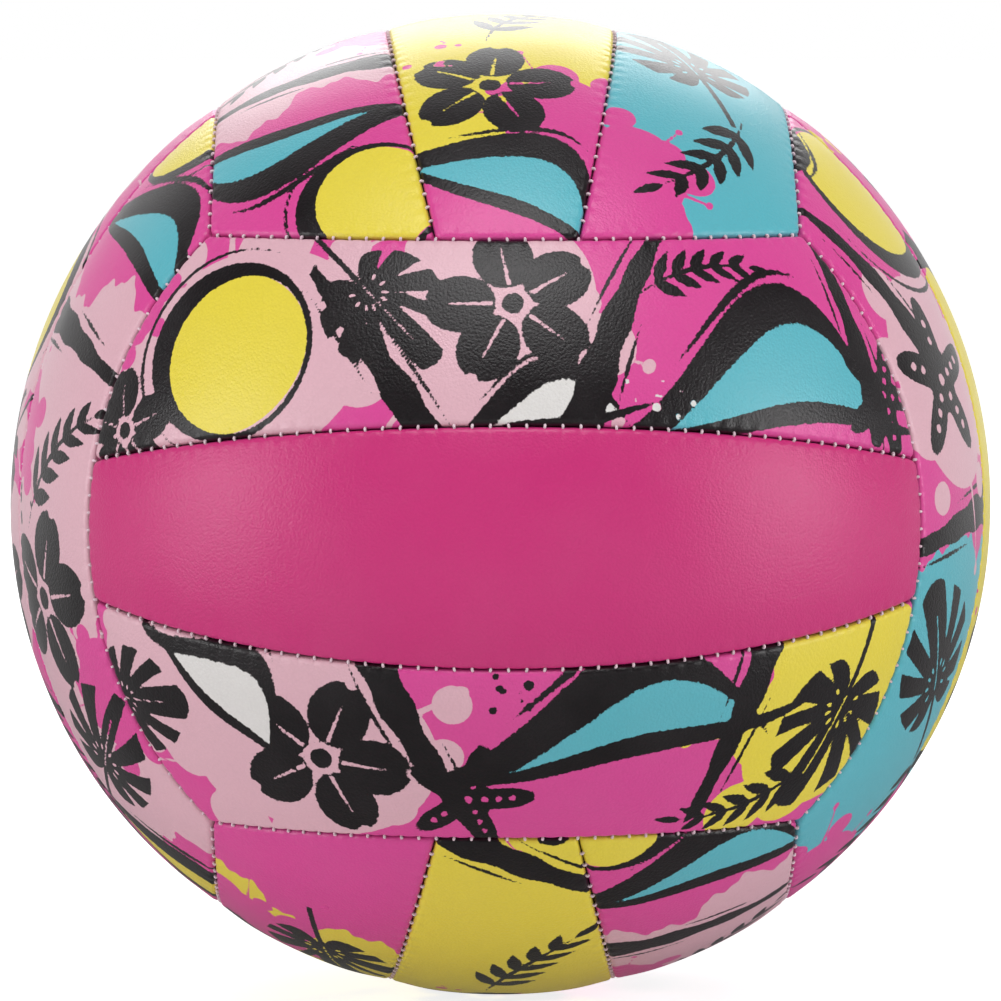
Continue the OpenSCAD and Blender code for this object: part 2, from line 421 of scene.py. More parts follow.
def swash(x, y, size, seed):
    """Tapered stroke of a dry brush with loose hairs beside it"""
    y = y - 0.06 * size * np.sin(2.4 * x / size + seed)
    share = np.clip(x / size + 0.5, 0, 1)
    body = np.abs(y) - size * (0.085 - 0.062 * share) * (1 + 0.12 * np.sin(0.5 * x + seed))
    field = np.maximum(body, np.abs(x + 0.02 * size * np.sin(y)) - size / 2)
    for k in (-1, 1):
        hair = np.abs(y - k * size * (0.115 - 0.05 * share)) - capped(
            x - 0.16 * k * size, size * (0.24 + 0.06 * wobble(seed + k)), 0.011 * size)
        field = np.minimum(field, hair)
    return field


def spatter(x, y, size, seed):
    """Small drops thrown out of one place"""
    field = disc(x, y, 0.12 * size)
    for k in range(9):
        turn = TAU * wobble(seed + 3 * k)
        reach = size * (0.6 + 0.4 * wobble(seed + 5 * k))
        drop = size * (0.07 + 0.03 * wobble(seed + k))
        field = np.minimum(field, disc(x - reach * math.cos(turn), y - reach * math.sin(turn), drop))
    return field


MOTIFS = {
    "splash": splash,
    "band": band,
    "wave": wave,
    "sun": sun,
    "blossom": blossom,
    "heart_leaf": heart_leaf,
    "sprig": sprig,
    "starfish": starfish,
    "swash": swash,
    "spatter": spatter,
}
# Black lines that go with a motif
LINES = {"wave": wave_lines, "sun": sun_lines}


def printed_inks(along, across, design, turned_round, shift):
    """Distance in millimetres to the edge of each ink, negative inside it, at places on a strip"""
    if turned_round:
        along, across = -along, -across
    inks = {ink: np.full(along.shape, FAR) for ink in INKS}
    for number, (kind, ink, at, up, size, turn) in enumerate(DESIGNS[design]):
        seed = 5 * number + len(design)
        cosine, sine = math.cos(math.radians(turn)), math.sin(math.radians(turn))
        du, dv = along - at - shift, across - up
        x, y = cosine * du + sine * dv, cosine * dv - sine * du
        field = MOTIFS[kind](x, y, size, seed)
        covered = INKS[INKS.index(ink) + 1:] if ink in INKS else INKS
        for other in covered:
            inks[other] = np.maximum(inks[other], -field)
        if ink in INKS:
            inks[ink] = np.minimum(inks[ink], field)
        if kind in LINES:
            inks["black"] = np.minimum(inks["black"], LINES[kind](x, y, size, seed))
    return inks


def number_setting(name, description, default, **kind):
    return bpy.props.FloatProperty(name=name, description=description, default=default, **kind)


def length_setting(name, description, default):
    return number_setting(name, description, default, unit="LENGTH")


def angle_setting(name, description, default):
    return number_setting(name, description, default, subtype="ANGLE")


def factor_setting(name, description, default):
    return number_setting(name, description, default, subtype="FACTOR")


def colour_setting(name, description, default):
    return bpy.props.FloatVectorProperty(name=name, description=description, default=default, subtype="COLOR")


class BallSizes(bpy.types.PropertyGroup):
    """Sizes of the covers"""

    radius: length_setting("Radius", "From the centre to the crowns of the panels", cad_box[1].z)
    strip_angle: angle_setting("Strip Angle", "Half the angle that a face's middle strip spans",
                               math.radians(13.4))
    slit: length_setting("Slit", "Open width between two covers at the bottom of a seam", 0.2 * MM)
    edge_roll: length_setting("Edge Roll", "Radius with which a cover turns down into a seam", 1.3 * MM)
    pillow_depth: length_setting("Pillow Depth", "How far a panel falls off towards its seams", 0.5 * MM)
    pillow_width: length_setting("Pillow Width", "Distance from a seam over which it falls off", 6 * MM)
    pucker_depth: length_setting("Pucker Depth", "Depth to which each stitch pulls the cover in", 0.22 * MM)
    pucker_width: length_setting("Pucker Width", "Distance from a seam that a pucker reaches", 2 * MM)
    unevenness: length_setting("Unevenness", "Height of the slow swells of the foam under a cover", 0.09 * MM)
    cover_thickness: length_setting("Cover Thickness", "Thickness of the skin", 0.8 * MM)
    inner_margin: length_setting("Inner Margin", "Distance from a seam's middle to the inside of a rim",
                                 1.15 * MM)
    rim_radius: length_setting("Rim Radius", "From the centre to the ends of the turned-down rims",
                               100.8 * MM)
    cell: length_setting("Mesh Cell", "Side of a cell of a cover's mesh", 0.55 * MM)


class StitchSizes(bpy.types.PropertyGroup):
    """Sizes of the sewing"""

    pitch: length_setting("Pitch", "Distance from one stitch to the next", 3.6 * MM)
    thread: length_setting("Thread", "Thickness of the thread", 0.58 * MM)
    width: length_setting("Width", "Width of a stitch across its seam", 0.78 * MM)
    depth: length_setting("Depth", "Depth of a stitch's ends below the crowns", 1.4 * MM)
    rise: length_setting("Rise", "Height of a stitch's middle over its ends", 0.5 * MM)
    slant: angle_setting("Slant", "Most that a stitch is turned out of square", 0.22)
    seed: bpy.props.IntProperty(name="Seed", description="Choice of the stitches' slants", default=3)


class ValveSizes(bpy.types.PropertyGroup):
    """Sizes of the valve and of its hole"""

    hole: length_setting("Hole", "Diameter of the cover's hole", 9.5 * MM)
    hole_round: length_setting("Hole Round", "Radius that softens the hole's edge", 0.7 * MM)
    edge_round: length_setting("Edge Round", "Radius on the edges of the rubber", 0.25 * MM)
    tube: length_setting("Tube", "Outer radius of the housing's tube", 4.6 * MM)
    head_bore: length_setting("Head Bore", "Radius of the wide bore for the core's head", 3.24 * MM)
    stem_bore: length_setting("Stem Bore", "Radius of the bore for the core's stem", 2.44 * MM)
    head_depth: length_setting("Head Depth", "Depth of the wide bore", 1.6 * MM)
    flange_drop: length_setting("Flange Drop", "From the covers' rims down to the flange", 0.9 * MM)
    flange_thickness: length_setting("Flange Thickness", "Thickness of the flange", 1.2 * MM)
    core_head: length_setting("Core Head", "Height of the core's head", 1.4 * MM)
    core_stem: length_setting("Core Stem", "Radius of the core's stem", 2.4 * MM)
    core_tip: length_setting("Core Tip", "Radius of the core's narrow end", 1.9 * MM)
    tip_length: length_setting("Tip Length", "Length over which the core narrows", 4 * MM)
    needle_bore: length_setting("Needle Bore", "Radius of the needle's passage", 1.05 * MM)
    funnel: length_setting("Funnel", "Radius of the passage's mouth", 1.8 * MM)
    funnel_depth: length_setting("Funnel Depth", "Depth of the passage's mouth", 0.8 * MM)


class CoverColours(bpy.types.PropertyGroup):
    """Colours of the print and of the other materials"""

    magenta: colour_setting("Magenta", "The plain panel", (0.60, 0.026, 0.185))
    printed_magenta: colour_setting("Printed Magenta", "Ground of the printed panels", (0.71, 0.063, 0.31))
    pale: colour_setting("Pale", "Pale pink ink", (0.74, 0.44, 0.51))
    yellow: colour_setting("Yellow", "Yellow ink", (0.80, 0.66, 0.055))
    turquoise: colour_setting("Turquoise", "Turquoise ink", (0.10, 0.46, 0.54))
    white: colour_setting("White", "Off-white ink", (0.74, 0.72, 0.70))
    black: colour_setting("Black", "Black ink", (0.003, 0.0028, 0.0033))
    thread: colour_setting("Thread", "Sewing thread", (0.78, 0.62, 0.68))
    foam: colour_setting("Foam", "Foam sheets", (0.72, 0.70, 0.62))
    lining: colour_setting("Lining", "Woven linings", (0.62, 0.58, 0.48))
    rubber: colour_setting("Rubber", "Bladder and valve", (0.022, 0.022, 0.024))


class FinishSettings(bpy.types.PropertyGroup):
    """How the covers' surface looks"""

    grain: length_setting("Grain", "Height of the leather's pebbles", 0.075 * MM)
    pebble: length_setting("Pebble", "Width of a pebble", 0.6 * MM)
    gloss: factor_setting("Gloss", "Strength of the coating's reflections", 0.5)
    smooth: factor_setting("Smoothest", "Roughness where the coating is smoothest", 0.25)
    uneven: factor_setting("Unevenness", "Roughness that slow swells add", 0.12)
    wear: factor_setting("Wear", "Most that scuffs pale a cover", 0.012)
    # Painted shade: the grain's pits are darkened where shade falls in them
    pits: factor_setting("Pits", "Most that soil darkens the pits of the grain", 0.05)
    # Painted shade: a seam's slit is darkened where shade falls in it, fullest at Shade Start and gone at
    # Shade End
    painted_seam_shade: factor_setting("Seam Shade", "Most that soil darkens a seam's slit", 0.35)
    shade_start: length_setting("Shade Start", "Distance from a seam's middle at which the soil is fullest",
                                0.12 * MM)
    shade_end: length_setting("Shade End", "Distance from a seam's middle at which the soil ends", 0.5 * MM)
    dry_black: number_setting("Dry Black", "How far bristles move the black ink's edge, in millimetres", 1.0)
    dry_colour: number_setting("Dry Colour", "How far bristles move the other inks' edges, in millimetres",
                               0.35)


class StudioSettings(bpy.types.PropertyGroup):
    """Camera and light"""

    distance: length_setting("Distance", "From the camera to the ball's centre", 1.155)
    azimuth: angle_setting("Azimuth", "Turn of the camera to the ball's left", math.radians(0.9))
    elevation: angle_setting("Elevation", "Height of the camera over the ball's middle", math.radians(4.87))
    aim_rise: length_setting("Aim Rise", "Height of the aim over the ball's centre", 0.82 * MM)
    lens: number_setting("Lens", "Focal length in millimetres", 193.2)
    ambient: number_setting("Ambient", "Brightness of the even light", 0.35)
    front_light: number_setting("Front Light", "Brightness of the studio's front wall in reflections", 0.06)
    floor_white: number_setting("Floor White", "Glow that makes the floor white to the camera", 0.8)
    floor_fill: number_setting("Floor Fill", "Glow of the floor that lights the ball from below", 0.21)
    # Near the ball the floor that reflections show is dimmer, its colour painted darker there as painted
    # shade
    near_floor: factor_setting("Near Floor", "Share of the glow that reflections show close to the ball",
                               0.18)
    near_reach: length_setting("Near Reach", "Distance at which reflections show the full glow", 3.0)


def feed(tree, socket, source):
    """Links a socket to another one or to a node's first output, or sets its value"""
    if isinstance(source, bpy.types.Node):
        source = source.outputs[0]
    if isinstance(source, bpy.types.NodeSocket):
        tree.links.new(source, socket)
    else:
        socket.default_value = source


def node(tree, kind, inputs=(), **settings):
    """New node whose properties are set by name, and whose inputs are fed by name or number"""
    made = tree.nodes.new(kind)
    for name, value in settings.items():
        setattr(made, name, value)
    for name, source in dict(inputs).items():
        feed(tree, made.inputs[name], source)
    return made


def math_node(tree, operation, *inputs):
    return node(tree, "ShaderNodeMath", enumerate(inputs), operation=operation).outputs[0]


def mixed(tree, factor, below, above):
    """Colour that goes from one to the other by a factor"""
    made = node(tree, "ShaderNodeMix", {"Factor": factor}, data_type="RGBA")
    for socket, source in zip([s for s in made.inputs if s.type == "RGBA"], (below, above)):
        feed(tree, socket, source)
    return next(s for s in made.outputs if s.type == "RGBA")


def ramp(tree, value, low, high, to_low=0.0, to_high=1.0):
    """Value mapped from one range to another and clamped"""
    inputs = {"Value": value, "From Min": low, "From Max": high, "To Min": to_low, "To Max": to_high}
    return node(tree, "ShaderNodeMapRange", inputs, clamp=True).outputs["Result"]


def object_place(tree):
    return node(tree, "ShaderNodeTexCoord").outputs["Object"]


def noise(tree, scale, detail=3.0, roughness=0.5):
    inputs = {"Vector": object_place(tree), "Scale": scale, "Detail": detail, "Roughness": roughness}
    return node(tree, "ShaderNodeTexNoise", inputs).outputs["Fac"]


def cells(tree, scale):
    """Distance from the middle of the nearest of many random cells"""
    inputs = {"Vector": object_place(tree), "Scale": scale}
    return node(tree, "ShaderNodeTexVoronoi", inputs, feature="F1").outputs["Distance"]


def bands(tree, scale, direction):
    """Soft bands one after another along a direction"""
    inputs = {"Vector": object_place(tree), "Scale": scale}
    made = node(tree, "ShaderNodeTexWave", inputs, wave_type="BANDS", bands_direction=direction)
    return made.outputs["Fac"]


def rgba(colour):
    return (*colour, 1.0)


def new_group(name, inputs, outputs):
    """Shader node group that takes and gives numbers, and the sockets at its two ends"""
    tree = bpy.data.node_groups.new(name, "ShaderNodeTree")
    for socket_name, default in inputs.items():
        socket = tree.interface.new_socket(socket_name, in_out="INPUT", socket_type="NodeSocketFloat")
        socket.default_value = default
    for socket_name in outputs:
        tree.interface.new_socket(socket_name, in_out="OUTPUT", socket_type="NodeSocketFloat")
    return tree, node(tree, "NodeGroupInput").outputs, node(tree, "NodeGroupOutput").inputs


def leather_grain_group():
    """Fine pebbles with wrinkles between them, and slow swells of a finger's width"""
    tree, given, out = new_group("Leather Grain", {"Pebble Size": 0.65 * MM, "Swell Size": 14 * MM},
                                 ("Height", "Swell", "Mottle"))
    pebbles = cells(tree, math_node(tree, "DIVIDE", 1.0, given["Pebble Size"]))
    wrinkles = noise(tree, math_node(tree, "DIVIDE", WRINKLES, given["Pebble Size"]), roughness=0.6)
    swell = noise(tree, math_node(tree, "DIVIDE", 1.0, given["Swell Size"]), detail=2.0)
    sunk = math_node(tree, "MULTIPLY", pebbles, -PEBBLE_SHARE)
    feed(tree, out["Height"], math_node(tree, "MULTIPLY_ADD", wrinkles, WRINKLE_SHARE, sunk))
    feed(tree, out["Swell"], swell)
    feed(tree, out["Mottle"], math_node(tree, "MULTIPLY", wrinkles, swell))
    return tree


def ink_edge_group():
    """Turns the distance to an ink's edge, roughened by bristles, into how much of the ink is there"""
    tree, given, out = new_group("Ink Edge", {"Distance": 0.0, "Bristles": 0.5, "Roughen": 0.6}, ("Cover",))
    centred = math_node(tree, "SUBTRACT", given["Bristles"], 0.5)
    moved = math_node(tree, "MULTIPLY_ADD", centred, given["Roughen"], given["Distance"])
    feed(tree, out["Cover"], ramp(tree, moved, INK_BLUR, -INK_BLUR))
    return tree


def surface(material, colour, roughness, height, bump_distance, gloss=0.5):
    """Principled surface with a bump on a material's output"""
    tree = material.node_tree
    bump = node(tree, "ShaderNodeBump", {"Strength": 1.0, "Distance": bump_distance, "Height": height})
    shader = node(tree, "ShaderNodeBsdfPrincipled", {
        "Base Color": colour, "Roughness": roughness, "Normal": bump, "Specular IOR Level": gloss})
    node(tree, "ShaderNodeOutputMaterial", {"Surface": shader})


def new_material(name):
    material = bpy.data.materials.new(name)
    material.use_nodes = True
    material.node_tree.nodes.clear()
    return material


def attribute(tree, name):
    return node(tree, "ShaderNodeAttribute", attribute_name=name).outputs["Fac"]


def cover_material(name, groups, colours, finish, printed):
    """Coated sheet with leather grain, worn a little, with painted shade down in its seams and in its grain's
    pits
    """
    material = new_material(name)
    tree = material.node_tree
    grain = node(tree, "ShaderNodeGroup", {"Pebble Size": finish.pebble}, node_tree=groups["grain"]).outputs
    colour = rgba(colours.printed_magenta if printed else colours.magenta)
    if printed:
        bristles = noise(tree, BRISTLES, detail=4.0, roughness=0.62)
        for ink in INKS:
            edge = node(tree, "ShaderNodeGroup", {
                "Distance": attribute(tree, f"ink_{ink}"),
                "Bristles": bristles,
                "Roughen": finish.dry_black if ink == "black" else finish.dry_colour,
            }, node_tree=groups["ink"])
            colour = mixed(tree, edge, colour, rgba(getattr(colours, ink)))
    wear = ramp(tree, grain["Mottle"], *WEAR_RANGE, 0.0, finish.wear)
    colour = mixed(tree, wear, colour, SCUFFED)
    # Painted shade in the grain's pits, darkest where the grain is lowest
    pits = ramp(tree, grain["Height"], *GRAIN_HEIGHTS, finish.pits, 0.0)
    colour = mixed(tree, pits, colour, PAINTED_SHADE_TINT)
    # Painted shade: the colour is darkened near a seam's middle, down in its slit where shade falls
    distance = attribute(tree, "seam_distance")
    shade = ramp(tree, distance, finish.shade_start, finish.shade_end, finish.painted_seam_shade, 0.0)
    colour = mixed(tree, shade, colour, PAINTED_SHADE_TINT)
    roughness = math_node(tree, "MULTIPLY_ADD", grain["Swell"], finish.uneven, finish.smooth)
    surface(material, colour, roughness, grain["Height"], finish.grain, finish.gloss)
    return material


def thread_material(colours):
    """Twisted polyester thread, a little soiled"""
    material = new_material("thread")
    tree = material.node_tree
    twist = bands(tree, TWIST, "DIAGONAL")
    soil = ramp(tree, noise(tree, THREAD_SOIL), *THREAD_SOIL_RANGE, 0.0, MOST_THREAD_SOIL)
    colour = mixed(tree, soil, rgba(colours.thread), SOILED_THREAD)
    surface(material, colour, roughness=0.62, height=twist, bump_distance=0.04 * MM)
    return material


def foam_material(colours):
    """Closed-cell foam with small open pores"""
    material = new_material("foam")
    tree = material.node_tree
    pores = ramp(tree, cells(tree, FOAM_CELLS), *PORE_RANGE)
    colour = mixed(tree, pores, FOAM_PORES, rgba(colours.foam))
    surface(material, colour, roughness=0.85, height=pores, bump_distance=0.1 * MM)
    return material


def lining_material(colours):
    """Plain weave of cotton and polyester"""
    material = new_material("lining")
    tree = material.node_tree
    woven = math_node(tree, "MAXIMUM", bands(tree, WEAVE, "X"), bands(tree, WEAVE, "Z"))
    colour = mixed(tree, ramp(tree, woven, *WEAVE_RANGE), WEAVE_GAPS, rgba(colours.lining))
    surface(material, colour, roughness=0.9, height=woven, bump_distance=0.12 * MM)
    return material


def rubber_material(name, colours):
    """Moulded rubber with a fine haze of dust"""
    smoothest, roughest, dust = RUBBERS[name]
    material = new_material(name)
    tree = material.node_tree
    group = bpy.data.node_groups["Leather Grain"]
    grain = node(tree, "ShaderNodeGroup", RUBBER_GRAIN, node_tree=group).outputs
    haze = ramp(tree, grain["Mottle"], *DUST_RANGE, 0.0, dust)
    colour = mixed(tree, haze, rgba(colours.rubber), RUBBER_DUST)
    roughness = ramp(tree, grain["Swell"], *RUBBER_SWELL_RANGE, smoothest, roughest)
    surface(material, colour, roughness, height=grain["Height"], bump_distance=0.02 * MM)
    return material


def steps_over(width, cell, roll):
    """Shares from 0 to 1 over a width, close together where its two rims are rolled and even between them"""
    turns = np.linspace(0, math.pi / 2, RIM_CELLS + 1)
    rim = roll * (1 - np.cos(turns))
    count = max(RIM_CELLS, round((width - 2 * roll) / cell))
    middle = np.linspace(roll, width - roll, count + 1)
    return np.concatenate([rim[:-1], middle, (width - rim[:-1])[::-1]]) / width


def unit(vectors):
    return vectors / np.linalg.norm(vectors, axis=-1, keepdims=True)


def strip_plane(tilt):
    """Upward normal of the plane of a seam beside the front's middle strip, and the way to its middle"""
    return np.array([0, math.sin(tilt), math.cos(tilt)]), np.array([0, -math.cos(tilt), math.sin(tilt)])


def plane_side(tilt, shift, end_cos, along):
    """Directions along a strip seam's plane that is moved by shift, and the height of its ends"""
    normal, middle = strip_plane(tilt)
    radius = math.sqrt(1 - shift ** 2)
    end_z = (shift + end_cos * math.sin(tilt)) / math.cos(tilt)
    end_x = math.sqrt(1 - end_cos ** 2 - end_z ** 2)
    turns = (2 * along - 1) * math.asin(end_x / radius)
    across = np.outer(np.sin(turns), [1, 0, 0]) + np.outer(np.cos(turns), middle)
    return shift * normal + radius * across, end_z


def patch(middle_strip, margin, along, across, tilt):
    """Grid of directions over the front's upper or middle strip, with its sides a margin inside the seams"""
    end_cos, end_sin = math.cos(END_ANGLE - margin), math.sin(END_ANGLE - margin)
    rise = math.sin(margin)
    if middle_strip:
        high, high_z = plane_side(tilt, -rise, end_cos, along)
        low, low_z = high * [1, 1, -1], -high_z
    else:
        low, low_z = plane_side(tilt, rise, end_cos, along)
        high_z = math.cos(END_ANGLE + margin)
        ring = math.sqrt(1 - high_z ** 2)
        turns = (2 * along - 1) * math.asin(math.sqrt(1 - end_cos ** 2 - high_z ** 2) / ring)
        high = np.stack([ring * np.sin(turns), -ring * np.cos(turns), np.full_like(turns, high_z)], 1)
    low_turn, high_turn = math.asin(low_z / end_sin), math.asin(high_z / end_sin)
    turns = low_turn + across * (high_turn - low_turn)
    right = np.stack([end_sin * np.cos(turns), np.full_like(turns, -end_cos), end_sin * np.sin(turns)], 1)
    left = right * [-1, 1, 1]
    u, v = along[None, :, None], across[:, None, None]
    ruled = (1 - v) * low[None] + v * high[None] + (1 - u) * left[:, None] + u * right[:, None]
    corners = ((1 - u) * (1 - v) * low[0] + u * (1 - v) * low[-1]
               + (1 - u) * v * high[0] + u * v * high[-1])
    return unit(ruled - corners)


def seams_of(directions, middle_strip, tilt):
    """For each seam round a strip: the angle from it, and the angle along it that its stitches count from"""
    x, y, z = np.moveaxis(directions, -1, 0)
    ring = math.sin(END_ANGLE)
    found = [(END_ANGLE - np.arccos(np.clip(-y, -1, 1)), np.arctan2(z, np.abs(x)) * ring)]
    normal, middle = strip_plane(tilt)
    inward, sides = (-1, (1, -1)) if middle_strip else (1, (1,))
    for side in sides:
        away = inward * np.arcsin(directions @ (normal * [1, 1, side]))
        found.append((away, np.arctan2(x, directions @ (middle * [1, 1, side]))))
    if not middle_strip:
        found.append((np.arccos(np.clip(z, -1, 1)) - END_ANGLE, np.arctan2(x, -y) * ring))
    return found


def rolled_depth(reach_squared, roll):
    """Depth of a quarter round at a squared distance from where it starts"""
    return roll - np.sqrt(roll ** 2 - np.minimum(np.sqrt(reach_squared), roll) ** 2)


def foam_swell(directions):
    """Slow hills and hollows of the foam, as a share of their full depth"""
    x, y, z = np.moveaxis(directions, -1, 0)
    swell = np.sin(9 * x + 5 * z + 1) * np.sin(11 * y - 4 * z)
    swell = swell + 0.6 * np.sin(23 * z + 8 * x) * np.sin(19 * x - 9 * y)
    return 0.5 + 0.3 * swell


def crown_depth(seams, sizes, stitches, directions):
    """How far a cover's surface lies below the crowns, and its distance from the nearest seam"""
    roll, margin = sizes.edge_roll, sizes.slit / 2
    reach_squared, calm, pucker, nearest = 0, 1, 0, np.inf
    for away, along in seams:
        distance = away * sizes.radius
        reach_squared = reach_squared + np.clip(roll + margin - distance, 0, roll) ** 2
        calm = calm * (1 - np.exp(-(distance / sizes.pillow_width) ** 2))
        beat = (0.5 + 0.5 * np.cos(TAU * along * sizes.radius / stitches.pitch)) ** 2
        pucker = np.maximum(pucker, beat * np.exp(-(distance / sizes.pucker_width) ** 2))
        nearest = np.minimum(nearest, distance)
    depth = rolled_depth(reach_squared, roll)
    depth = depth + sizes.pillow_depth * (1 - calm) + sizes.pucker_depth * pucker
    return depth + sizes.unevenness * foam_swell(directions) * calm, nearest


def border(columns, rows):
    """Points of a grid's outline by column and row, counter-clockwise"""
    right = [(i, 0) for i in range(columns)]
    up = [(columns, j) for j in range(rows)]
    left = [(i, rows) for i in range(columns, 0, -1)]
    down = [(0, j) for j in range(rows, 0, -1)]
    return right + up + left + down


def coarse_steps(cell_count):
    """Steps of a cover's inside, the last of which isn't shorter than half of the others"""
    last = cell_count - INSIDE_STRIDE // 2
    return sorted({0, cell_count, *range(INSIDE_STRIDE, last, INSIDE_STRIDE)})


def cover_mesh(name, face, strip, sizes, stitches):
    """Closed skin of one panel: crown, rolled rims, turned-down flanks and a coarser inside"""
    middle_strip = strip == 1
    tilt, radius, roll = sizes.strip_angle, sizes.radius, sizes.edge_roll
    span = 2 * tilt if middle_strip else math.pi / 2 - END_ANGLE - tilt
    along = steps_over(2 * END_ANGLE * radius, sizes.cell, roll)
    across = steps_over(span * radius, sizes.cell, roll)
    outer = patch(middle_strip, sizes.slit / 2 / radius, along, across, tilt)
    inner = patch(middle_strip, sizes.inner_margin / radius, along, across, tilt)
    depth, _ = crown_depth(seams_of(outer, middle_strip, tilt), sizes, stitches, outer)
    inner_seams = seams_of(inner, middle_strip, tilt)
    reach_squared = sum(np.clip(roll + sizes.inner_margin - away * radius, 0, roll) ** 2
                        for away, _ in inner_seams)
    inner_depth = rolled_depth(reach_squared, roll)
    columns, rows = len(along) - 1, len(across) - 1
    edge = border(columns, rows)
    edge_rows = np.array([j for _, j in edge])
    edge_columns = np.array([i for i, _ in edge])
    skin = outer * (radius - depth)[..., None]
    rim_outer = outer[edge_rows, edge_columns] * sizes.rim_radius
    rim_inner = inner[edge_rows, edge_columns] * sizes.rim_radius
    inside = inner * (radius - sizes.cover_thickness - inner_depth)[..., None]
    ledge = inside[edge_rows, edge_columns]
    inner_columns, inner_rows = coarse_steps(columns), coarse_steps(rows)
    grid_count = (columns + 1) * (rows + 1)
    loop_count = len(edge)
    core_points = [(i, j) for j in inner_rows[1:-1] for i in inner_columns[1:-1]]
    core = np.array([inside[j, i] for i, j in core_points])
    vertices = np.concatenate([skin.reshape(-1, 3), rim_outer, rim_inner, ledge, core])
    crown = np.arange(grid_count).reshape(rows + 1, columns + 1)
    quads = np.stack([crown[:-1, :-1], crown[:-1, 1:], crown[1:, 1:], crown[1:, :-1]], -1)
    faces = quads.reshape(-1, 4).tolist()
    loops = [crown[edge_rows, edge_columns]]
    loops += [grid_count + k * loop_count + np.arange(loop_count) for k in range(3)]
    for upper, lower in zip(loops, loops[1:]):
        faces += np.stack([upper, lower, np.roll(lower, -1), np.roll(upper, -1)], -1).tolist()
    ledge_index = {cell: int(loops[3][k]) for k, cell in enumerate(edge)}
    core_index = {cell: grid_count + 3 * loop_count + k for k, cell in enumerate(core_points)}
    for low, high in zip(inner_rows, inner_rows[1:]):
        for left, right in zip(inner_columns, inner_columns[1:]):
            outline = cell_outline(left, right, low, high, columns, rows)
            faces.append([ledge_index.get(c, core_index.get(c)) for c in reversed(outline)])
    turn = FACE_TURNS[face] @ (np.diag([-1, 1, -1]) if strip == 2 else np.eye(3))
    mesh = bpy.data.meshes.new(name)
    mesh.from_pydata(vertices @ turn.T, [], faces)
    mesh.shade_smooth()
    return mesh, turn


def cell_outline(left, right, low, high, columns, rows):
    """Corners of a coarse inside cell, with the grid's points between them where it lies on the border"""
    bottom = range(left, right) if low == 0 else (left,)
    side = range(low, high) if right == columns else (low,)
    top = range(right, left, -1) if high == rows else (right,)
    back = range(high, low, -1) if left == 0 else (high,)
    return [*((i, low) for i in bottom), *((right, j) for j in side),
            *((i, high) for i in top), *((left, j) for j in back)]


def sheet_place(directions, middle_strip, sizes):
    """Millimetres along and across a strip, as on the flat sheet that it was cut from"""
    lean = 0 if middle_strip else (sizes.strip_angle + math.pi / 2 - END_ANGLE) / 2
    x, y, z = np.moveaxis(directions, -1, 0)
    level_y = y * math.cos(lean) - z * math.sin(lean)
    level_z = z * math.cos(lean) + y * math.sin(lean)
    radius = sizes.radius / MM
    return radius * np.arctan2(x, -level_y), radius * np.arcsin(np.clip(level_z, -1, 1))


def add_values(mesh, name, values):
    layer = mesh.attributes.new(name, "FLOAT", "POINT")
    layer.data.foreach_set("value", values.astype(np.float32).ravel())


def mark_cover(mesh, panel, middle_strip, turn, sizes, stitches):
    """Writes the distance to the seams and to each ink's edge on a cover's points"""
    points = np.empty(len(mesh.vertices) * 3, np.float32)
    mesh.vertices.foreach_get("co", points)
    directions = unit(points.reshape(-1, 3).astype(float) @ turn)
    seams = seams_of(directions, middle_strip, sizes.strip_angle)
    add_values(mesh, "seam_distance", crown_depth(seams, sizes, stitches, directions)[1])
    if panel in PRINTED:
        along, across = sheet_place(directions, middle_strip, sizes)
        for ink, field in printed_inks(along, across, *PRINTED[panel]).items():
            add_values(mesh, f"ink_{ink}", np.clip(field, -FARTHEST_KEPT, FARTHEST_KEPT))


def lathe(name, profile, steps=TURNED_STEPS):
    """Closed solid turned about the ball's Y axis from a closed outline of (radius, place) pairs"""
    count = len(profile)
    turns = TAU * np.arange(steps) / steps
    points = [(r * math.cos(t), y, r * math.sin(t)) for t in turns for r, y in profile]
    faces = [[k * count + i, ((k + 1) % steps) * count + i,
              ((k + 1) % steps) * count + (i + 1) % count, k * count + (i + 1) % count]
             for k in range(steps) for i in range(count)]
    mesh = bpy.data.meshes.new(name)
    mesh.from_pydata(points, [], faces)
    shell = bmesh.new()
    shell.from_mesh(mesh)
    bmesh.ops.remove_doubles(shell, verts=shell.verts, dist=MERGING)
    bmesh.ops.recalc_face_normals(shell, faces=shell.faces)
    shell.to_mesh(mesh)
    shell.free()
    return mesh


def rounded(corners, radius):
    """Outline whose corners are rounded off over a length, or less where a side is short"""
    outline = []
    count = len(corners)
    for k in range(count):
        before, here, after = (Vector(corners[(k + d) % count]) for d in (-1, 0, 1))
        cut = min(radius, CORNER_SHARE * (before - here).length, CORNER_SHARE * (after - here).length)
        start, end = here + cut * (before - here).normalized(), here + cut * (after - here).normalized()
        for step in range(CORNER_STEPS + 1):
            t = step / CORNER_STEPS
            outline.append(tuple((1 - t) ** 2 * start + 2 * t * (1 - t) * here + t ** 2 * end))
    return outline


def add_piece(name, mesh, material, body, slot, *replaced):
    """Object that rides on a body and stands for CAD nodes"""
    piece = bpy.data.objects.new(name, mesh)
    bpy.context.scene.collection.objects.link(piece)
    mesh.materials.clear()
    mesh.materials.append(material)
    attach(piece, body)
    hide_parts(*replaced)
    return piece


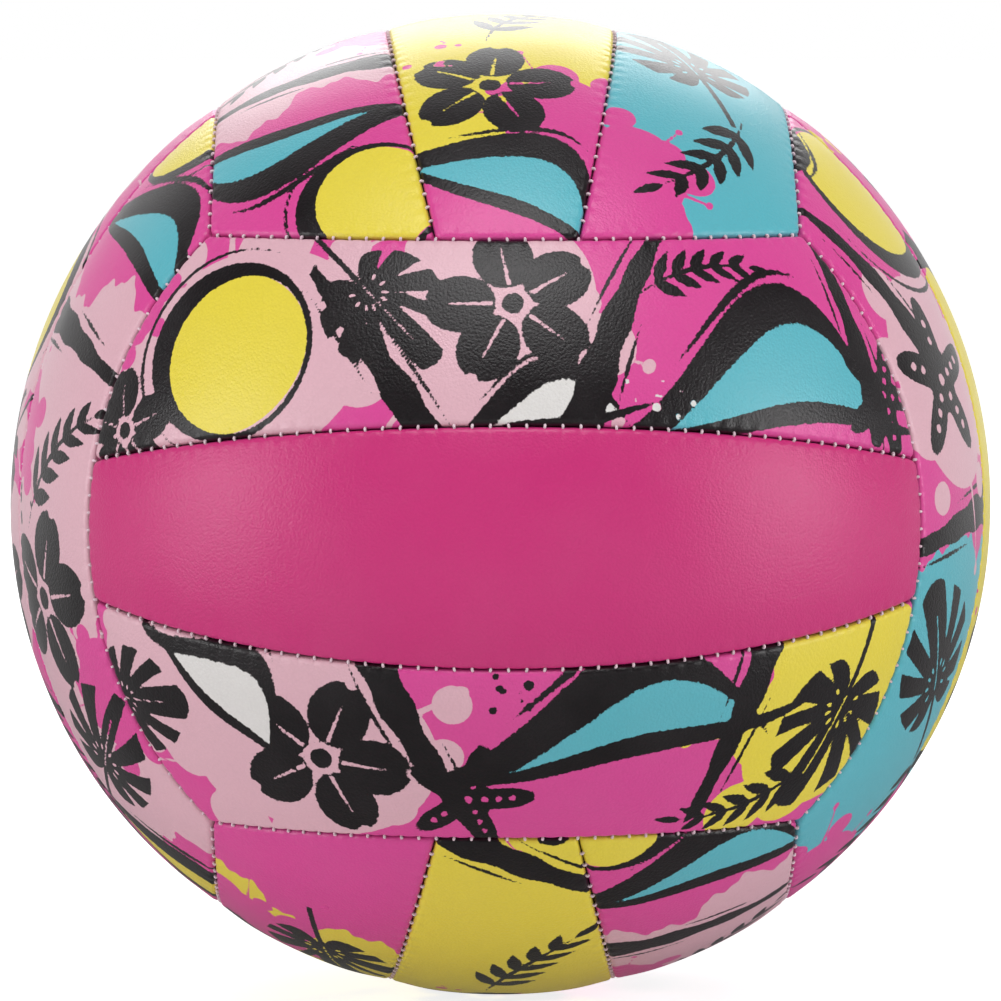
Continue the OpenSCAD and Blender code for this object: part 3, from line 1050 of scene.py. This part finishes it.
def cut_valve_hole(mesh, sizes, valve):
    """Cuts the housing's hole with a softened edge out of the valve's panel"""
    hole, soft = valve.hole / 2, valve.hole_round
    top = sizes.radius - FLARE_SINK
    flare = [(hole + soft * (1 - math.cos(t)), top - soft * (1 - math.sin(t)))
             for t in np.linspace(0, math.pi / 2, FLARE_POINTS)]
    under, over = sizes.radius - CUTTER_REACH, sizes.radius + CUTTER_REACH
    profile = [(0, under), (hole, under), *flare, (hole + soft, over), (0, over)]
    cutter = bpy.data.objects.new("hole_cutter", lathe("hole_cutter", profile, HOLE_STEPS))
    blank = bpy.data.objects.new("panel_blank", mesh)
    for made in (cutter, blank):
        bpy.context.scene.collection.objects.link(made)
    boolean = blank.modifiers.new("hole", "BOOLEAN")
    boolean.operation, boolean.solver, boolean.object = "DIFFERENCE", "EXACT", cutter
    cut = bpy.data.meshes.new_from_object(blank.evaluated_get(bpy.context.evaluated_depsgraph_get()))
    for made in (cutter, blank):
        bpy.data.objects.remove(made)
    cut.name = mesh.name
    cut.shade_smooth()
    return cut


class BALL_OT_covers(bpy.types.Operator):
    """Makes the eighteen covers with their print"""

    bl_idname = "ball.covers"
    bl_label = "Make Covers"

    def execute(self, context):
        scene = context.scene
        sizes, stitches = scene.ball_sizes, scene.stitch_sizes
        groups = {"grain": leather_grain_group(), "ink": ink_edge_group()}
        finishes = {
            name: cover_material(name, groups, scene.cover_colours, scene.finish_settings, printed)
            for name, printed in (("printed_cover", True), ("plain_cover", False))
        }
        for face, names in STRIP_NAMES.items():
            for strip, strip_name in enumerate(names):
                panel = f"{face}_{strip_name}"
                mesh, turn = cover_mesh(panel, face, strip, sizes, stitches)
                if panel == VALVE_PANEL:
                    mesh = cut_valve_hole(mesh, sizes, scene.valve_sizes)
                mark_cover(mesh, panel, strip == 1, turn, sizes, stitches)
                finish = "printed_cover" if panel in PRINTED else "plain_cover"
                add_piece(f"{panel}_panel", mesh, finishes[finish], "ball", finish, f"{panel}_cover")
        return {"FINISHED"}


def stitch_tree():
    """Geometry nodes that sew one bowed stitch after another along each seam, and their inputs' sockets"""
    tree = bpy.data.node_groups.new("Seam Stitches", "GeometryNodeTree")
    kinds = {
        "Seams": "Geometry", "Pitch": "Float", "Thread": "Float", "Width": "Float", "Rise": "Float",
        "Slant": "Float", "Seed": "Int", "Material": "Material",
    }
    sockets = {
        name: tree.interface.new_socket(name, in_out="INPUT", socket_type=f"NodeSocket{kind}")
        for name, kind in kinds.items()
    }
    tree.interface.new_socket("Stitches", in_out="OUTPUT", socket_type="NodeSocketGeometry")
    given = node(tree, "NodeGroupInput").outputs

    half = math_node(tree, "MULTIPLY", given["Width"], 0.5)
    start = node(tree, "ShaderNodeCombineXYZ", {"X": math_node(tree, "MULTIPLY", half, -1.0)})
    top = node(tree, "ShaderNodeCombineXYZ", {"Z": math_node(tree, "MULTIPLY", given["Rise"], 2.0)})
    end = node(tree, "ShaderNodeCombineXYZ", {"X": half})
    bow = node(tree, "GeometryNodeCurveQuadraticBezier",
               {"Resolution": STITCH_STEPS, "Start": start, "Middle": top, "End": end})
    thread_radius = math_node(tree, "MULTIPLY", given["Thread"], 0.5)
    ring = node(tree, "GeometryNodeCurvePrimitiveCircle",
                {"Resolution": STITCH_STEPS, "Radius": thread_radius}, mode="RADIUS")
    stitch = node(tree, "GeometryNodeCurveToMesh", {"Curve": bow, "Profile Curve": ring, "Fill Caps": True})

    length = node(tree, "GeometryNodeSplineLength")
    gaps = math_node(tree, "ROUND", math_node(tree, "DIVIDE", length, given["Pitch"]))
    spaced = node(tree, "GeometryNodeResampleCurve",
                  {"Curve": given["Seams"], "Count": math_node(tree, "ADD", gaps, 1.0)}, mode="COUNT")
    upright = node(tree, "FunctionNodeAlignRotationToVector",
                   {"Vector": node(tree, "GeometryNodeInputPosition")}, axis="Z")
    facing = node(tree, "FunctionNodeAlignRotationToVector",
                  {"Rotation": upright, "Vector": node(tree, "GeometryNodeInputTangent")},
                  axis="Y", pivot_axis="Z")
    slant = node(tree, "FunctionNodeRandomValue", {"Seed": given["Seed"]}, data_type="FLOAT")
    least, most = (s for s in slant.inputs if s.type == "VALUE" and s.name in ("Min", "Max"))
    feed(tree, least, math_node(tree, "MULTIPLY", given["Slant"], -1.0))
    feed(tree, most, given["Slant"])
    drawn = next(s for s in slant.outputs if s.type == "VALUE")
    by = node(tree, "FunctionNodeAxisAngleToRotation", {"Axis": (0, 0, 1), "Angle": drawn})
    turned = node(tree, "FunctionNodeRotateRotation", {"Rotation": facing, "Rotate By": by},
                  rotation_space="LOCAL")

    sewn = node(tree, "GeometryNodeInstanceOnPoints",
                {"Points": spaced, "Instance": stitch, "Rotation": turned})
    real = node(tree, "GeometryNodeRealizeInstances", {"Geometry": sewn})
    finish = node(tree, "GeometryNodeSetMaterial", {"Geometry": real, "Material": given["Material"]})
    node(tree, "NodeGroupOutput", {"Stitches": finish})
    return tree, sockets


def seam_arcs(kind, sizes, stitches):
    """Finely stepped seams of one kind, each as long as its whole number of stitches"""
    tilt = sizes.strip_angle
    if kind == "end":
        ring, half_turn = math.sin(END_ANGLE), CORNER_TURN
    else:
        ring, half_turn = 1.0, math.acos(math.cos(END_ANGLE) / math.cos(tilt))
    step = stitches.pitch / (sizes.radius * ring)
    stitches_each_way = math.floor(half_turn / step - OPEN_END)
    turns = np.linspace(-1, 1, SEAM_POINTS) * step * stitches_each_way
    arcs = []
    for turn in FACE_TURNS.values():
        for side in (-1, 1):
            if kind == "end":
                arc = np.stack([side * ring * np.cos(turns), np.full_like(turns, -math.cos(END_ANGLE)),
                                ring * np.sin(turns)], 1)
            else:
                middle = strip_plane(tilt)[1] * [1, 1, side]
                arc = np.outer(np.sin(turns), [1, 0, 0]) + np.outer(np.cos(turns), middle)
            arcs.append((sizes.radius - stitches.depth) * arc @ turn.T)
    return arcs


class BALL_OT_stitches(bpy.types.Operator):
    """Sews the end seams and the strip seams"""

    bl_idname = "ball.stitches"
    bl_label = "Sew Seams"

    def execute(self, context):
        scene = context.scene
        sizes, stitches = scene.ball_sizes, scene.stitch_sizes
        material = thread_material(scene.cover_colours)
        tree, sockets = stitch_tree()
        values = {
            "Pitch": stitches.pitch * (1 - stitches.depth / sizes.radius), "Thread": stitches.thread,
            "Width": stitches.width, "Rise": stitches.rise, "Slant": stitches.slant,
            "Seed": stitches.seed, "Material": material,
        }
        for kind in ("end", "strip"):
            curve = bpy.data.curves.new(f"{kind}_seams", "CURVE")
            curve.dimensions = "3D"
            for arc in seam_arcs(kind, sizes, stitches):
                spline = curve.splines.new("POLY")
                spline.points.add(len(arc) - 1)
                spline.points.foreach_set("co", np.hstack([arc, np.ones((len(arc), 1))]).ravel())
            seams = bpy.data.objects.new(f"{kind}_seams", curve)
            scene.collection.objects.link(seams)
            sewing = seams.modifiers.new("sewing", "NODES")
            sewing.node_group = tree
            for name, value in values.items():
                sewing[sockets[name].identifier] = value
            made = seams.evaluated_get(context.evaluated_depsgraph_get())
            mesh = bpy.data.meshes.new_from_object(made)
            seams.modifiers.remove(sewing)
            bpy.data.objects.remove(seams)
            mesh.shade_smooth()
            add_piece(f"{kind}_seam_stitches", mesh, material, "ball", "thread", f"{kind}_seam_thread")
        return {"FINISHED"}


class BALL_OT_valve(bpy.types.Operator):
    """Makes the valve's rubber housing and its push-in core"""

    bl_idname = "ball.valve"
    bl_label = "Make Valve"

    def execute(self, context):
        scene = context.scene
        valve = scene.valve_sizes
        for name, body, cad_name, profile in (
                ("valve_tube", "ball", "valve_housing", housing_profile(scene.ball_sizes, valve)),
                ("valve_plug", "valve_core", "valve_core", core_profile(valve))):
            material = rubber_material(name, scene.cover_colours)
            mesh = lathe(name, rounded(profile, valve.edge_round))
            mesh.shade_smooth()
            add_piece(name, mesh, material, body, "valve", cad_name)
        return {"FINISHED"}


def housing_profile(sizes, valve):
    """Half section of the tube with its flange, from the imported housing's own places"""
    low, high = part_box("valve_housing")
    top, bottom, flange = high.y, low.y, high.x
    seat = top - valve.head_depth
    flange_top = sizes.rim_radius - valve.flange_drop
    flange_bottom = flange_top - valve.flange_thickness
    sag = flange_top - math.sqrt(flange_top ** 2 - flange ** 2)
    return [(valve.stem_bore, bottom), (valve.tube, bottom), (valve.tube, flange_bottom),
            (flange, flange_bottom - sag), (flange, flange_top - sag), (valve.tube, flange_top),
            (valve.tube, top), (valve.head_bore, top), (valve.head_bore, seat), (valve.stem_bore, seat)]


def core_profile(valve):
    """Half section of the core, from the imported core's own places"""
    low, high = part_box("valve_core")
    top, bottom, head = high.y, low.y, high.x
    seat = top - valve.core_head
    return [(valve.needle_bore, bottom), (valve.core_tip, bottom),
            (valve.core_stem, bottom + valve.tip_length), (valve.core_stem, seat), (head, seat), (head, top),
            (valve.funnel, top), (valve.needle_bore, top - valve.funnel_depth)]


class BALL_OT_inner_layers(bpy.types.Operator):
    """Gives the foam, the linings and the bladder their finishes"""

    bl_idname = "ball.inner_layers"
    bl_label = "Finish Inner Layers"

    def execute(self, context):
        colours = context.scene.cover_colours
        finishes = {
            "_foam": foam_material(colours),
            "_lining": lining_material(colours),
            "bladder": rubber_material("bladder", colours),
        }
        for name, cad_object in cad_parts.items():
            for ending, material in finishes.items():
                if name.endswith(ending):
                    for material_slot in cad_object.material_slots:
                        material_slot.material = material
                    if not cad_object.material_slots:
                        cad_object.data.materials.append(material)
        return {"FINISHED"}


def floor_material(studio):
    """Pale floor that reads white to the camera and keeps the ball's shadow, with painted shade near the ball
    in reflections
    """
    material = new_material("studio_floor")
    tree = material.node_tree
    path = node(tree, "ShaderNodeLightPath").outputs
    # Painted shade: for glossy rays the floor's colour goes towards black near the ball, so reflections show
    # a darker floor there
    from_ball = node(tree, "ShaderNodeVectorMath", {0: object_place(tree)}, operation="LENGTH")
    reach = ramp(tree, from_ball.outputs["Value"], DIM_FLOOR, studio.near_reach, studio.near_floor, 1.0)
    mirrored = math_node(tree, "MULTIPLY", path["Is Glossy Ray"], reach)
    dimmed = math_node(tree, "SUBTRACT", path["Is Glossy Ray"], mirrored)
    greys = mixed(tree, noise(tree, FLOOR_CLOUDS), *FLOOR_GREYS)
    pale = node(tree, "ShaderNodeBsdfDiffuse", {"Color": mixed(tree, dimmed, greys, rgba((0, 0, 0)))})
    seen = math_node(tree, "MAXIMUM", path["Is Camera Ray"], path["Is Transmission Ray"])
    white = math_node(tree, "MULTIPLY", math_node(tree, "MAXIMUM", seen, mirrored), studio.floor_white)
    fill = math_node(tree, "MULTIPLY", path["Is Diffuse Ray"], studio.floor_fill)
    glow = node(tree, "ShaderNodeEmission", {"Strength": math_node(tree, "ADD", white, fill)})
    both = node(tree, "ShaderNodeAddShader", {0: pale, 1: glow})
    node(tree, "ShaderNodeOutputMaterial", {"Surface": both})
    return material


def studio_world(studio):
    """World that is white to the camera and behind the ball, dim in front of it, and even as a light"""
    world = bpy.data.worlds.new("studio")
    world.use_nodes = True
    tree = world.node_tree
    tree.nodes.clear()
    path = node(tree, "ShaderNodeLightPath").outputs
    view = node(tree, "ShaderNodeTexCoord").outputs["Generated"]
    heading = node(tree, "ShaderNodeSeparateXYZ", {"Vector": view}).outputs["Y"]
    behind = ramp(tree, heading, BACK_WALL, 1.0, studio.front_light, 1.0)
    reflected = math_node(tree, "MAXIMUM", path["Is Camera Ray"], behind)
    by_lens = math_node(tree, "MAXIMUM", path["Is Camera Ray"], path["Is Glossy Ray"])
    by_lens = math_node(tree, "MAXIMUM", by_lens, path["Is Transmission Ray"])
    strength = ramp(tree, by_lens, 0.0, 1.0, studio.ambient, reflected)
    background = node(tree, "ShaderNodeBackground", {"Color": rgba((1, 1, 1)), "Strength": strength})
    node(tree, "ShaderNodeOutputWorld", {"Surface": background})
    return world


def aimed(made, place, target):
    """Puts a lamp or a camera in its place and turns it to its target"""
    made.location = place
    made.rotation_euler = (target - place).to_track_quat("-Z", "Y").to_euler()
    bpy.context.scene.collection.objects.link(made)
    return made


def add_softbox(name, place, size, power):
    lamp = bpy.data.lights.new(name, "AREA")
    lamp.shape, lamp.size, lamp.size_y, lamp.energy = "RECTANGLE", size[0], size[1], power
    aimed(bpy.data.objects.new(name, lamp), Vector(place), Vector())


class BALL_OT_stage(bpy.types.Operator):
    """Makes the floor, the studio light and the camera"""

    bl_idname = "ball.stage"
    bl_label = "Make Stage"

    def execute(self, context):
        scene = context.scene
        studio, radius = scene.studio_settings, scene.ball_sizes.radius
        mesh = bpy.data.meshes.new("studio_floor")
        far = FLOOR_REACH
        corners = [(-far, -far, -radius), (far, -far, -radius), (far, far, -radius), (-far, far, -radius)]
        mesh.from_pydata(corners, [], [(0, 1, 2, 3)])
        mesh.materials.append(floor_material(studio))
        floor = bpy.data.objects.new("studio_floor", mesh)
        scene.collection.objects.link(floor)
        scene.world = studio_world(studio)
        for name, (place, size, power) in SOFTBOXES.items():
            add_softbox(name, place, size, power)

        lens = bpy.data.cameras.new("camera")
        lens.lens, lens.sensor_width = studio.lens, SENSOR_WIDTH
        level = math.cos(studio.elevation)
        back = Vector((-math.sin(studio.azimuth) * level, -math.cos(studio.azimuth) * level,
                       math.sin(studio.elevation)))
        aim = Vector((0, 0, studio.aim_rise))
        scene.camera = aimed(bpy.data.objects.new("camera", lens), aim + back * studio.distance, aim)
        scene.view_settings.view_transform = "Standard"
        return {"FINISHED"}


OPERATORS = (BALL_OT_covers, BALL_OT_stitches, BALL_OT_valve, BALL_OT_inner_layers, BALL_OT_stage)
SETTINGS = {
    "ball_sizes": BallSizes,
    "stitch_sizes": StitchSizes,
    "valve_sizes": ValveSizes,
    "cover_colours": CoverColours,
    "finish_settings": FinishSettings,
    "studio_settings": StudioSettings,
}


class VIEW3D_PT_ball(bpy.types.Panel):
    """Sidebar panel with the ball's settings and its makers"""

    bl_idname = "VIEW3D_PT_ball"
    bl_label = "Beach Volleyball"
    bl_space_type = "VIEW_3D"
    bl_region_type = "UI"
    bl_category = "Ball"

    def draw(self, context):
        for settings_name, settings in SETTINGS.items():
            box = self.layout.box()
            for name in settings.__annotations__:
                box.prop(getattr(context.scene, settings_name), name)
        for operator in OPERATORS:
            self.layout.operator(operator.bl_idname)


def register():
    for made in (*SETTINGS.values(), *OPERATORS, VIEW3D_PT_ball):
        bpy.utils.register_class(made)
    for name, settings in SETTINGS.items():
        setattr(bpy.types.Scene, name, bpy.props.PointerProperty(type=settings))


def unregister():
    for name in SETTINGS:
        delattr(bpy.types.Scene, name)
    for made in reversed((*SETTINGS.values(), *OPERATORS, VIEW3D_PT_ball)):
        bpy.utils.unregister_class(made)


def main():
    register()
    bpy.ops.ball.covers()
    bpy.ops.ball.stitches()
    bpy.ops.ball.valve()
    bpy.ops.ball.inner_layers()
    bpy.ops.ball.stage()


if __name__ == "__main__":
    main()
